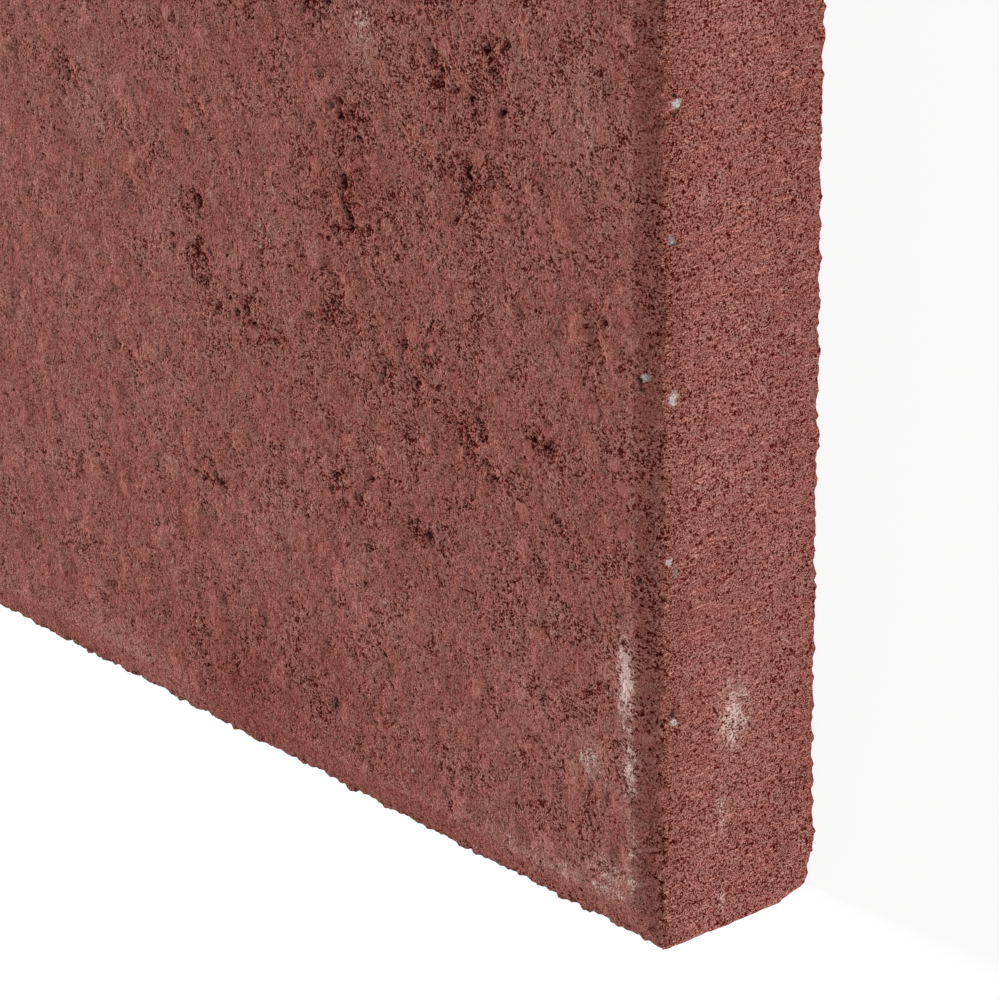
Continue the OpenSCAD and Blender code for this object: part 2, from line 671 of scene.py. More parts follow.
class Board:
    """Adds shader nodes to one tree and wires them."""

    # How far past a radius, in cells, a pit, a stone and the seam round a stone start and are whole.
    PIT_EDGE = (0.05, -0.10)
    STONE_EDGE = (0.03, -0.04)
    SEAM_EDGE = (0.13, 0.04)

    # How many finer layers the noise has.
    DETAIL = 2.0

    def __init__(self, tree: bpy.types.NodeTree) -> None:
        """Starts on an empty tree."""
        self.tree = tree
        tree.nodes.clear()

    def node(self, kind: str, inputs: dict | None = None, **settings: object) -> bpy.types.Node:
        """Adds a node.

        Args:
            kind: The node's type.
            inputs: Values or sockets for its inputs, by name or number.
            **settings: The node's own settings.

        Returns:
            The new node.
        """
        made = self.tree.nodes.new(kind)
        for name, value in settings.items():
            setattr(made, name, value)
        for name, value in (inputs or {}).items():
            if isinstance(value, Socket):
                self.tree.links.new(value, made.inputs[name])
            else:
                made.inputs[name].default_value = value
        return made

    def noise(self, place: Socket, size: float, detail: float = DETAIL, roughness: float = 0.5) -> Socket:
        """Noise with lumps of a size in millimetres, about 0.5 in the middle."""
        inputs = {"Vector": place, "Scale": 1.0 / size, "Detail": detail, "Roughness": roughness}
        return self.node("ShaderNodeTexNoise", inputs).outputs[0]

    def around(self, place: Socket, size: float, detail: float = DETAIL, roughness: float = 0.5) -> Socket:
        """Noise with lumps of a size in millimetres, about 0 in the middle."""
        return self.plus(self.noise(place, size, detail, roughness), -0.5)

    def grains(self, place: Socket, size: float) -> bpy.types.Node:
        """Cells of a size in millimetres, each with a colour of its own."""
        return self.node("ShaderNodeTexVoronoi", {"Vector": place, "Scale": 1.0 / size})

    def pits(self, place: Socket, cell: float, share: object, sizes: Span) -> Socket:
        """Round pits, at most one in each cell.

        Args:
            place: Where the cells are laid out.
            cell: Width of a cell, in millimetres.
            share: How many of the cells have a pit, from 0 to 1.
            sizes: Radius of the smallest and of the largest pits, in cells.

        Returns:
            1 in a pit and 0 off it.
        """
        cells = self.grains(place, cell)
        chance = self.node("ShaderNodeSeparateColor", {0: cells.outputs["Color"]})
        radius = self.ramp(chance.outputs[1], 0.0, 1.0, *sizes)
        inside = self.ramp(self.math("SUBTRACT", cells.outputs["Distance"], radius), *self.PIT_EDGE)
        return self.math("MULTIPLY", inside, self.math("LESS_THAN", chance.outputs[0], share))

    def gravel(self, place: Socket, cell: float, share: object, sizes: Span) -> tuple[Socket, Socket, Socket]:
        """Small stones, at most one in each cell.

        Args:
            place: Where the cells are laid out.
            cell: Width of a cell, in millimetres.
            share: How many of the cells have a stone, from 0 to 1.
            sizes: Radius of the smallest and of the largest stones, in cells.

        Returns:
            1 on a stone and 0 off it, 1 on the seam round it and 0 off it, and a kind from 0 to 1.
        """
        cells = self.grains(place, cell)
        chance = self.node("ShaderNodeSeparateColor", {0: cells.outputs["Color"]})
        radius = self.ramp(chance.outputs[1], 0.0, 1.0, *sizes)
        past = self.math("SUBTRACT", cells.outputs["Distance"], radius)
        held = self.math("LESS_THAN", chance.outputs[0], share)
        on = self.math("MULTIPLY", self.ramp(past, *self.STONE_EDGE), held)
        near = self.math("MULTIPLY", self.ramp(past, *self.SEAM_EDGE), held)
        return on, self.math("SUBTRACT", near, on), chance.outputs[2]

    def math(self, operation: str, first: object, second: object) -> Socket:
        """One sum on two numbers."""
        return self.node("ShaderNodeMath", {0: first, 1: second}, operation=operation).outputs[0]

    def times(self, value: Socket, factor: float) -> Socket:
        """A number times a fixed factor."""
        return self.math("MULTIPLY", value, factor)

    def plus(self, *values: object) -> Socket:
        """The sum of several numbers."""
        total = values[0]
        for value in values[1:]:
            total = self.math("ADD", total, value)
        return total

    def ramp(
        self, value: Socket, start: float, end: float, low: float = 0.0, high: float | Socket = 1.0,
    ) -> Socket:
        """Goes smoothly from low where the value is at start to high where it is at end.

        Args:
            value: The number to follow.
            start: What it is at the low end.
            end: What it is at the high end.
            low: What comes out up to start.
            high: What comes out from end on.

        Returns:
            The new number.
        """
        inputs = {"Value": value, "From Min": start, "From Max": end, "To Min": low, "To Max": high}
        made = self.node("ShaderNodeMapRange", inputs, interpolation_type="SMOOTHSTEP")
        return made.outputs[0]

    def follow(self, value: Socket, swing: Swing) -> Socket:
        """A number that follows another as a swing says."""
        return self.ramp(value, swing.start, swing.end, swing.low, swing.high)

    @staticmethod
    def stops(ramp: bpy.types.Node, colours: tuple[tuple[float, Colour], ...]) -> None:
        """Sets the colours along a colour ramp, from 0 to 1."""
        elements = ramp.color_ramp.elements
        while len(elements) < len(colours):
            elements.new(1.0)
        for element, (position, colour) in zip(elements, colours):
            element.position = position
            element.color = rgba(colour)

    def stored(self, name: str) -> Socket:
        """A number that the mesh stores for each vertex."""
        return self.node("ShaderNodeAttribute", attribute_name=name).outputs["Fac"]

    def scaled(self, place: Socket, factors: Place) -> Socket:
        """Places times a factor along each axis, where a small factor draws shapes out."""
        return self.node("ShaderNodeVectorMath", {0: place, 1: factors}, operation="MULTIPLY").outputs[0]

    def warped(self, place: Socket, size: float, amount: float) -> Socket:
        """Places pushed about by noise, so that shapes drawn on them get ragged outlines.

        Args:
            place: The places to push.
            size: Width of the pushes, in millimetres.
            amount: How far the furthest are pushed, in millimetres.

        Returns:
            The pushed places.
        """
        lumps = self.node("ShaderNodeTexNoise", {"Vector": place, "Scale": 1.0 / size, "Detail": self.DETAIL})
        centred = self.node(
            "ShaderNodeVectorMath", {0: lumps.outputs["Color"], 1: (0.5, 0.5, 0.5)}, operation="SUBTRACT",
        )
        pushed = self.scaled(centred.outputs[0], (2.0 * amount, 2.0 * amount, 2.0 * amount))
        return self.node("ShaderNodeVectorMath", {0: place, 1: pushed}).outputs[0]

    def blend(self, share: object, first: object, second: object, how: str = "MIX") -> Socket:
        """Mixes two colours."""
        made = self.node("ShaderNodeMix", {0: share, 6: first, 7: second}, data_type="RGBA", blend_type=how)
        return made.outputs[2]


def rgba(colour: Colour) -> tuple[float, float, float, float]:
    """A colour with full alpha."""
    return (*colour, 1.0)


def grey(level: float) -> Colour:
    """A grey, where 0 is black and 1 is white."""
    return (level, level, level)


@dataclass(frozen=True)
class Fleck:
    """A spot of its own colour: a pale bit of gravel that the cement doesn't cover, or a dark spot of painted
    shade where a small recess lies.

    Attributes:
        at: Its middle, in millimetres.
        reach: Its half sizes along X, Y and Z, in millimetres.
        colour: Its colour.
    """

    at: Place
    reach: Place
    colour: Colour

    COVER = Swing(1.3, 0.4, 0.0, 0.9)

    def mask(self, board: Board, place: Socket) -> Socket:
        """How much of the fleck shows, at places in millimetres."""
        away = board.node("ShaderNodeVectorMath", {0: place, 1: self.at}, operation="SUBTRACT").outputs[0]
        shares = tuple(1.0 / size for size in self.reach)
        inside = board.scaled(away, shares)
        length = board.node("ShaderNodeVectorMath", {0: inside}, operation="LENGTH").outputs["Value"]
        return board.follow(length, self.COVER)


@dataclass
class Grit:
    """What several parts of the finish read at one spot of the slab.

    Attributes:
        place: The spot, in millimetres.
        side: 1 on an upright face and 0 on a level one.
        quiet: How strong the coarse texture is there.
        sand: How high the sand stands.
        fine: How bright the finest grains are.
        crumb: How high the crumbs stand.
        patch: How light a patch the spot lies in.
        zone: How light a part of the slab it lies in.
        bevel: 1 on the bevel and 0 off it.
        arris: 1 in from the arris, and less near it.
        streak: 1 in the streaks that the mould leaves on the upright faces.
        rim: 1 along the inner edge of the bevel, fading over the walking face.
        pebble: How far a pebble shows under the cement.
        gravel: 1 on the small stones that show bare, and 0 off them.
        seam: 1 on the seams round those stones, where painted shade darkens the tone.
        kind: What those stones are of, from 0 to 1.
    """

    place: Socket
    side: Socket
    quiet: Socket
    sand: Socket
    fine: Socket
    crumb: Socket
    patch: Socket
    zone: Socket
    bevel: Socket
    # arris: 1 in from the arris, and less near it, for how much painted shade the bevel gets.
    arris: Socket
    streak: Socket
    rim: Socket
    pebble: Socket
    gravel: Socket
    seam: Socket
    kind: Socket


@dataclass(frozen=True)
class RedConcrete:
    """Finish of the slab: iron-red cement over sand and gravel, with open pores, flecks and lime bloom, and
    with painted light and shade: shade in the gaps, pores, voids, seams and dark flecks and on the bevel,
    light and shade on the raised grains, and paler upright faces.

    The cement's tone goes from 0 to 1, and its colour is a red for that tone times some tints. Lengths are in
    millimetres, radii in cells, and a share says how much a layer lightens or darkens the tone.

    Attributes:
        reds: Colours along the tone, whose darkest end is the painted shade of the pores.
        top_tint: Tint of the level faces.
        side_lit_tint: Tint of the upright faces, a little paler than the level faces' tint as painted light.
        dull_tint: Tint of the dull smears.
        brick_tint: Tint of the mould streaks.
        clay_tint: Tint of the reddest pebbles.
        pink_tint: Tint of the reddest gravel.
        dusty_tint: Tint of the palest pebbles and gravel.
        bloom: Colour of the lime bloom.
        pale: Colour of the pale grains.
        pale_cell: Cell that holds at most one pale grain.
        pale_chance: How many of the cells have one.
        pale_radius: Least and most radius of a pale grain.
        pale_cover: How much a pale grain hides.
        zone: Width of the largest light and dark parts.
        zone_detail: How many finer layers they have.
        patch: Width of the patches in them.
        crumb: Width of a crumb.
        crumb_detail: How many finer layers the crumbs have.
        sand: Width of a grain of sand.
        sand_roughness: How much finer lumps the sand has.
        fine: Width of the finest grains.
        fine_detail: How many finer layers they and the mould streaks have.
        zone_share: Share of the zones.
        patch_share: Share of the patches.
        crumb_share: Share of the crumbs, which lightens the high ones and darkens the low ones: partly their
            own mottling, partly painted light and shade.
        sand_share: Share of the sand, which likewise is partly its own mottling and partly painted light and
            shade.
        fine_share: Share of the finest grains.
        side_fine: How much more of them shows on the upright faces.
        side_calm: How much of the coarse texture the upright faces lack.
        gap_shade: How much painted shade darkens a gap, by how low its grains lie.
        gap_crumb: How much a gap follows the crumbs.
        gap_loose: How much lower the grains lie where the surface is loose.
        side_gap: How much higher they lie on the upright faces.
        patch_loose: How loose the surface is by patch.
        zone_loose: How loose it is by zone.
        open_loose: How loose it is in an open patch.
        side_loose: How loose it is on the upright faces.
        bevel_tight: How much tighter it is on the bevel.
        pore: Cell that holds at most one pore.
        pore_radius: Least and most radius of a pore.
        pore_loose: How many cells have a pore, by how loose the surface is.
        pore_share: How much painted shade the pores add.
        pore_warp: Width and depth of the pores' ragged outlines.
        cavity: Cell that holds at most one cavity.
        cavity_radius: Least and most radius of a cavity.
        cavity_loose: How many cells have a cavity, by how loose the surface is.
        cavity_share: How much painted shade the cavities add.
        hollow_sand: How much the sand breaks up the voids of the mesh.
        hollow_shade: How much painted shade darkens those voids.
        streak: Width of a mould streak.
        streak_draw: How the streaks are drawn out.
        streak_edge: Where a streak starts and is whole.
        streak_share: Share of the streaks.
        smear: Width of a dull smear.
        smear_draw: How the smears are drawn out.
        smear_edge: Where a smear starts and is whole.
        band_share: How much darker the band below the arris is.
        shade_share: Share of the marks that darken or lighten.
        pebble_edge: Where a pebble starts and is whole.
        pebble_share: Share of the pebbles.
        pebble_sand: How much of the sand shows on a pebble.
        pebble_pores: How much of the pores shows on a pebble.
        pebble_cover: How much of its tint a pebble has.
        gravel: Cell that holds at most one bit of gravel.
        gravel_chance: How many of the cells have one.
        gravel_radius: Least and most radius of a bit of gravel.
        gravel_warp: Width and depth of its ragged outline.
        gravel_share: Share of the gravel.
        gravel_sand: How much of the sand shows on it.
        gravel_pores: How much of the pores shows on it.
        gravel_cover: How much of its tint it has.
        seam_shade: How much painted shade darkens the seams round the gravel.
        bevel_width: How far the bevel reaches in from the sides.
        bevel_ragged: How far crumbs push the bevel's edges about.
        bevel_edge: How far past its width the bevel starts and is whole.
        bevel_shade: How much painted shade darkens the bevel, beyond what the lamps give it.
        arris_shade: How much of that painted shade there is by distance from the side.
        rim_edge: How far past the bevel its rim starts and is whole.
        rim_share: Share of that rim.
        fleck_warp: Width and depth of the flecks' ragged outlines.
        fleck_level: How light a fleck is between its grains.
        fleck_sand: How much the sand shows on a fleck.
        fleck_fine: How much the finest grains show on it.
        lime_veil: How much of the surface a thin bloom hides.
        lime_thick: How much more a thick bloom hides.
        lime_edge: Where lime starts to sit on the grains.
        lime_crests: How much lime sits on them by how far they stand up.
        lime_sand: How much it follows the sand.
        lime_fine: How much it follows the finest grains.
        lime_blots: How much it follows its own blots.
        blot: Width of those blots.
        blot_warp: Width and depth of their ragged outlines.
        pore_lime: How much lime a pore keeps, by how thick the bloom is.
        pore_full: How dark a pore is that keeps no more lime than that.
        middle: Tone of the plain cement.
        relief: Height of the sand and crumbs that only the light shows.
        roughness: Roughness of the surface.
        specular: How strongly it mirrors.
    """

    reds: tuple[tuple[float, Colour], ...] = (
        (0.00, (0.052, 0.002, 0.001)),
        (0.25, (0.124, 0.016, 0.010)),
        (0.55, (0.240, 0.075, 0.061)),
        (0.80, (0.328, 0.134, 0.115)),
        (1.00, (0.430, 0.228, 0.206)),
    )
    top_tint: Colour = (0.96, 0.93, 0.905)
    side_lit_tint: Colour = (1.018, 1.003, 0.985)
    dull_tint: Colour = (0.93, 1.02, 1.03)
    brick_tint: Colour = (1.22, 1.09, 0.96)
    clay_tint: Colour = (1.15, 1.09, 1.02)
    pink_tint: Colour = (1.08, 1.05, 1.05)
    dusty_tint: Colour = (1.13, 1.22, 1.22)
    bloom: Colour = (0.600, 0.440, 0.390)
    pale: Colour = (0.55, 0.43, 0.38)
    pale_cell: float = 4.0
    pale_chance: float = 0.06
    pale_radius: Span = (0.05, 0.11)
    pale_cover: float = 0.7
    zone: float = 24.0
    zone_detail: float = 3.0
    patch: float = 8.0
    crumb: float = 1.1
    crumb_detail: float = 1.5
    sand: float = 0.44
    sand_roughness: float = 0.65
    fine: float = 0.23
    fine_detail: float = 1.0
    zone_share: float = 0.25
    patch_share: float = 0.22
    crumb_share: float = 0.40
    sand_share: float = 0.9
    fine_share: float = 1.4
    side_fine: float = 0.5
    side_calm: float = 0.48
    gap_shade: Swing = Swing(-0.065, -0.14, 0.0, 0.55)
    gap_crumb: float = 0.45
    gap_loose: Swing = Swing(-1.6, 1.4, 0.0675, -0.0675)
    side_gap: float = 0.015
    patch_loose: Swing = Swing(-0.12, 0.12, -0.9, 0.7)
    zone_loose: Swing = Swing(-0.1, 0.1, -0.3, 0.3)
    open_loose: float = 1.6
    side_loose: float = 0.5
    bevel_tight: float = 0.25
    pore: float = 1.0
    pore_radius: Span = (0.12, 0.45)
    pore_loose: Swing = Swing(-1.0, 1.5, 0.0, 0.85)
    pore_share: float = 0.55
    pore_warp: Span = (0.55, 0.55)
    cavity: float = 2.6
    cavity_radius: Span = (0.06, 0.27)
    cavity_loose: Swing = Swing(0.3, 1.7, 0.01, 0.80)
    cavity_share: float = 1.0
    hollow_sand: float = 2.5
    hollow_shade: Swing = Swing(0.4, 0.75, 0.0, 0.55)
    streak: float = 0.4
    streak_draw: Place = (1.0, 1.0, 0.1)
    streak_edge: Swing = Swing(0.60, 0.72)
    streak_share: float = 0.25
    smear: float = 2.8
    smear_draw: Place = (1.0, 1.0, 0.4)
    smear_edge: Swing = Swing(0.44, 0.62)
    band_share: float = 0.10
    shade_share: float = 0.20
    pebble_edge: Swing = Swing(0.2, 0.45)
    pebble_share: float = 0.03
    pebble_sand: float = 0.6
    pebble_pores: float = 0.4
    pebble_cover: float = 0.6
    gravel: float = 6.6
    gravel_chance: float = 0.45
    gravel_radius: Span = (0.08, 0.30)
    gravel_warp: Span = (0.9, 0.8)
    gravel_share: float = 0.03
    gravel_sand: float = 0.5
    gravel_pores: float = 0.1
    gravel_cover: float = 0.8
    seam_shade: float = 0.10
    bevel_width: float = 6.5
    bevel_ragged: float = 0.8
    bevel_edge: Span = (0.2, -0.3)
    bevel_shade: float = 0.055
    arris_shade: Swing = Swing(0.0, 4.0, 0.4, 1.0)
    rim_edge: Span = (3.0, 0.2)
    rim_share: float = 0.04
    fleck_warp: Span = (1.2, 1.0)
    fleck_level: float = 0.9
    fleck_sand: float = 2.2
    fleck_fine: float = 1.6
    lime_veil: float = 0.2
    lime_thick: Swing = Swing(0.6, 1.0, 0.0, 0.35)
    lime_edge: Swing = Swing(0.05, 0.4)
    lime_crests: Swing = Swing(0.40, 0.95, 0.0, 0.7)
    lime_sand: float = 1.8
    lime_fine: float = 1.2
    lime_blots: float = 1.8
    blot: float = 2.2
    blot_warp: Span = (1.3, 0.9)
    pore_lime: Swing = Swing(0.6, 1.0, 0.2, 0.75)
    pore_full: float = 0.5
    middle: float = 0.62
    relief: float = 0.6
    roughness: float = 0.92
    specular: float = 0.02

    def material(self, spots: list[Fleck]) -> bpy.types.Material:
        """Builds the node material.

        Args:
            spots: The flecks that show in it.

        Returns:
            The material.
        """
        made = bpy.data.materials.new("red_concrete")
        made.use_nodes = True
        board = Board(made.node_tree)
        grit = self._grit(board)
        # Painted shade: gaps, pores, cavities and the mesh's voids are darkened in the colour, because the
        # bump and the shallow mesh cast little shade into them.
        pores = self._pore_shade(board, grit)
        scale = board.node("ShaderNodeValToRGB", {0: self._tone(board, grit, pores)})
        board.stops(scale, self.reds)
        colour = board.blend(1.0, scale.outputs[0], self._tint(board, grit), "MULTIPLY")
        kept = board.follow(board.stored("bloom"), self.pore_lime)
        shut = board.ramp(pores, 0.0, self.pore_full, 1.0, kept)
        colour = board.blend(board.math("MULTIPLY", self._lime(board, grit), shut), colour, rgba(self.bloom))
        pale = board.pits(grit.place, self.pale_cell, self.pale_chance, self.pale_radius)
        colour = board.blend(board.times(pale, self.pale_cover), colour, rgba(self.pale))
        ragged = board.warped(grit.place, *self.fleck_warp)
        speckled = board.plus(
            board.times(grit.sand, self.fleck_sand), board.times(grit.fine, self.fleck_fine),
            self.fleck_level,
        )
        for fleck in spots:
            face = board.blend(1.0, rgba(fleck.colour), speckled, "MULTIPLY")
            colour = board.blend(fleck.mask(board, ragged), colour, face)
        height = board.plus(grit.sand, grit.crumb)
        bump = board.node("ShaderNodeBump", {"Strength": 1.0, "Distance": self.relief * MM, "Height": height})
        inputs = {"Base Color": colour, "Roughness": self.roughness, "Specular IOR Level": self.specular}
        shader = board.node("ShaderNodeBsdfPrincipled", inputs | {"Normal": bump.outputs[0]})
        board.node("ShaderNodeOutputMaterial", {"Surface": shader.outputs[0]})
        return made

    def _grit(self, board: Board) -> Grit:
        """Lays out the grains, crumbs, patches, pebbles and gravel.

        Args:
            board: Where the nodes go.

        Returns:
            What the rest of the finish reads.
        """
        whole = board.node("ShaderNodeTexCoord").outputs["Object"]
        place = board.node("ShaderNodeVectorMath", {0: whole, 3: 1 / MM}, operation="SCALE").outputs[0]
        side = board.stored("side")
        quiet = board.ramp(side, 0.0, 1.0, 1.0, 1.0 - self.side_calm)
        crumb = board.math("MULTIPLY", board.around(place, self.crumb, self.crumb_detail), quiet)
        inset = board.plus(board.stored("inset"), board.times(crumb, self.bevel_ragged))
        level = board.plus(1.0, board.times(side, -1.0))
        drawn = board.scaled(place, self.streak_draw)
        streak = board.follow(board.noise(drawn, self.streak, self.fine_detail), self.streak_edge)
        bevel = board.ramp(inset, *(self.bevel_width + past for past in self.bevel_edge))
        rim = board.ramp(inset, *(self.bevel_width + past for past in self.rim_edge))
        chips = board.warped(place, *self.gravel_warp)
        gravel, seam, kind = board.gravel(chips, self.gravel, self.gravel_chance, self.gravel_radius)
        return Grit(
            place=place,
            side=side,
            quiet=quiet,
            sand=board.around(place, self.sand, roughness=self.sand_roughness),
            fine=board.around(place, self.fine, self.fine_detail),
            crumb=crumb,
            patch=board.around(place, self.patch),
            zone=board.around(place, self.zone, self.zone_detail),
            bevel=board.math("MULTIPLY", bevel, level),
            arris=board.follow(inset, self.arris_shade),
            streak=board.math("MULTIPLY", streak, side),
            rim=board.math("MULTIPLY", board.math("SUBTRACT", rim, bevel), level),
            pebble=board.follow(board.plus(board.stored("pebble"), crumb), self.pebble_edge),
            gravel=board.math("MULTIPLY", gravel, level),
            seam=board.math("MULTIPLY", seam, level),
            kind=kind,
        )

    def _pore_shade(self, board: Board, grit: Grit) -> Socket:
        """How much painted shade darkens the tone in the gaps, pores and cavities between the grains and in
        the voids of the mesh.

        Args:
            board: Where the nodes go.
            grit: What the spot is like.

        Returns:
            0 on a whole surface, and more in a pore.
        """
        uneven = board.plus(
            board.follow(grit.patch, self.patch_loose), board.follow(grit.zone, self.zone_loose),
        )
        loose = board.plus(
            board.times(board.stored("open"), self.open_loose), board.math("MULTIPLY", uneven, grit.quiet),
            board.times(grit.side, self.side_loose), board.times(grit.bevel, -self.bevel_tight),
        )
        low = board.plus(
            grit.sand, board.times(grit.crumb, self.gap_crumb), board.follow(loose, self.gap_loose),
            board.times(grit.side, self.side_gap),
        )
        # Painted shade: the lower the grains lie, the darker the gap between them.
        gap = board.follow(low, self.gap_shade)
        ragged = board.warped(grit.place, *self.pore_warp)
        # Painted shade: round dark pits for pores and cavities that the mesh doesn't hold.
        pores = board.pits(ragged, self.pore, board.follow(loose, self.pore_loose), self.pore_radius)
        chance = board.follow(loose, self.cavity_loose)
        cavities = board.pits(ragged, self.cavity, chance, self.cavity_radius)
        # Painted shade in the voids of the mesh, broken up by the sand.
        broken = board.plus(board.stored("hollow"), board.times(grit.sand, -self.hollow_sand))
        hollow = board.follow(broken, self.hollow_shade)
        deep = board.math("MAXIMUM", board.times(cavities, self.cavity_share), hollow)
        calm = board.math(
            "MULTIPLY", board.ramp(grit.pebble, 0.0, 1.0, 1.0, self.pebble_pores),
            board.ramp(grit.gravel, 0.0, 1.0, 1.0, self.gravel_pores),
        )
        return board.math("MULTIPLY", board.plus(gap, board.times(pores, self.pore_share), deep), calm)

    def _tone(self, board: Board, grit: Grit, pores: Socket) -> Socket:
        """How light the cement is, from 0 in the deepest pores, darkened with painted shade, to 1 on the
        palest grains.

        Args:
            board: Where the nodes go.
            grit: What the spot is like.
            pores: How much painted shade in the pores darkens it.

        Returns:
            The tone.
        """
        sparkle = board.ramp(grit.side, 0.0, 1.0, self.fine_share, self.fine_share * (1.0 + self.side_fine))
        smooth = board.ramp(grit.gravel, 0.0, 1.0, 1.0, self.gravel_sand)
        rough = board.ramp(grit.pebble, 0.0, 1.0, self.sand_share, self.pebble_sand * self.sand_share)
        # Painted light and shade, besides the grains' own mottling: the tone rises with the sand that the
        # bump also raises, so high grains are lighter and low ones darker.
        grains = board.plus(
            board.math("MULTIPLY", grit.sand, rough), board.math("MULTIPLY", grit.fine, sparkle),
        )
        return board.plus(
            board.math("MULTIPLY", grains, smooth), board.times(grit.pebble, self.pebble_share),
            # Painted shade in the seams round the gravel.
            board.times(grit.gravel, self.gravel_share), board.times(grit.seam, -self.seam_shade),
            # The crumbs, which the bump also raises, likewise lighten the high places and darken the low
            # ones: partly painted light and shade.
            board.times(grit.crumb, self.crumb_share), board.times(grit.patch, self.patch_share),
            board.times(grit.zone, self.zone_share), board.times(grit.streak, self.streak_share),
            # The band below the arris is darker.
            board.times(board.stored("worn"), -self.band_share),
            board.times(board.stored("shade"), -self.shade_share),
            # Painted shade: the bevel is darkened, since it faces away from the lamp.
            board.times(board.math("MULTIPLY", grit.bevel, grit.arris), -self.bevel_shade),
            # Painted shade of the gaps, pores and voids.
            board.times(grit.rim, self.rim_share), board.times(pores, -1.0), self.middle,
        )

    def _tint(self, board: Board, grit: Grit) -> Socket:
        """What the reds are multiplied by: sides tinted a little paler as painted light, duller smears,
        streaks and pebbles of their own.

        Args:
            board: Where the nodes go.
            grit: What the spot is like.

        Returns:
            The tint.
        """
        # Painted light: the upright faces get a paler tint than the level faces, though they are the same
        # cement.
        tint = board.blend(grit.side, rgba(self.top_tint), rgba(self.side_lit_tint))
        drawn = board.scaled(grit.place, self.smear_draw)
        smear = board.follow(board.noise(drawn, self.smear), self.smear_edge)
        # The band below the arris is duller, like the smears.
        dull = board.math("MAXIMUM", smear, board.stored("worn"))
        tint = board.blend(dull, tint, board.blend(1.0, tint, rgba(self.dull_tint), "MULTIPLY"))
        skin = board.blend(board.stored("kind"), rgba(self.clay_tint), rgba(self.dusty_tint))
        cover = board.times(grit.pebble, self.pebble_cover)
        tint = board.blend(cover, tint, board.blend(1.0, tint, skin, "MULTIPLY"))
        skin = board.blend(grit.kind, rgba(self.pink_tint), rgba(self.dusty_tint))
        cover = board.times(grit.gravel, self.gravel_cover)
        tint = board.blend(cover, tint, board.blend(1.0, tint, skin, "MULTIPLY"))
        return board.blend(grit.streak, tint, board.blend(1.0, tint, rgba(self.brick_tint), "MULTIPLY"))

    def _lime(self, board: Board, grit: Grit) -> Socket:
        """How much lime bloom covers the cement: a veil, and more of it on the grains that stand up.

        Args:
            board: Where the nodes go.
            grit: What the spot is like.

        Returns:
            0 on bare cement and about 1 under the thickest lime.
        """
        bloom = board.stored("bloom")
        blots = board.around(board.warped(grit.place, *self.blot_warp), self.blot)
        grains = board.plus(
            board.times(grit.sand, self.lime_sand), board.times(grit.fine, self.lime_fine),
            board.times(blots, self.lime_blots),
        )
        crests = board.follow(board.plus(bloom, grains), self.lime_crests)
        veil = board.plus(board.times(bloom, self.lime_veil), board.follow(bloom, self.lime_thick))
        return board.plus(veil, board.math("MULTIPLY", crests, board.follow(bloom, self.lime_edge)))


@dataclass(frozen=True)
class Lamp:
    """A soft square lamp aimed at the slab.

    Attributes:
        name: The lamp's name.
        toward: Direction from the slab to the lamp.
        away: How far off it is, in metres.
        side: How wide it is, in metres.
        level: Light on a face turned to it, where 1 shows a colour as it is written.
    """

    name: str
    toward: Place
    away: float
    side: float
    level: float

    def hang(self, target: Vector) -> bpy.types.Object:
        """Makes the lamp.

        Args:
            target: What it is aimed at.

        Returns:
            The lamp's object.
        """
        data = bpy.data.lights.new(self.name, "AREA")
        data.size = self.side
        data.energy = self.level * (math.pi * self.away) ** 2
        lamp = bpy.data.objects.new(self.name, data)
        direction = Vector(self.toward).normalized()
        lamp.location = target + direction * self.away
        lamp.rotation_euler = direction.to_track_quat("Z", "Y").to_euler()
        lamp.visible_camera = False
        bpy.context.scene.collection.objects.link(lamp)
        return lamp


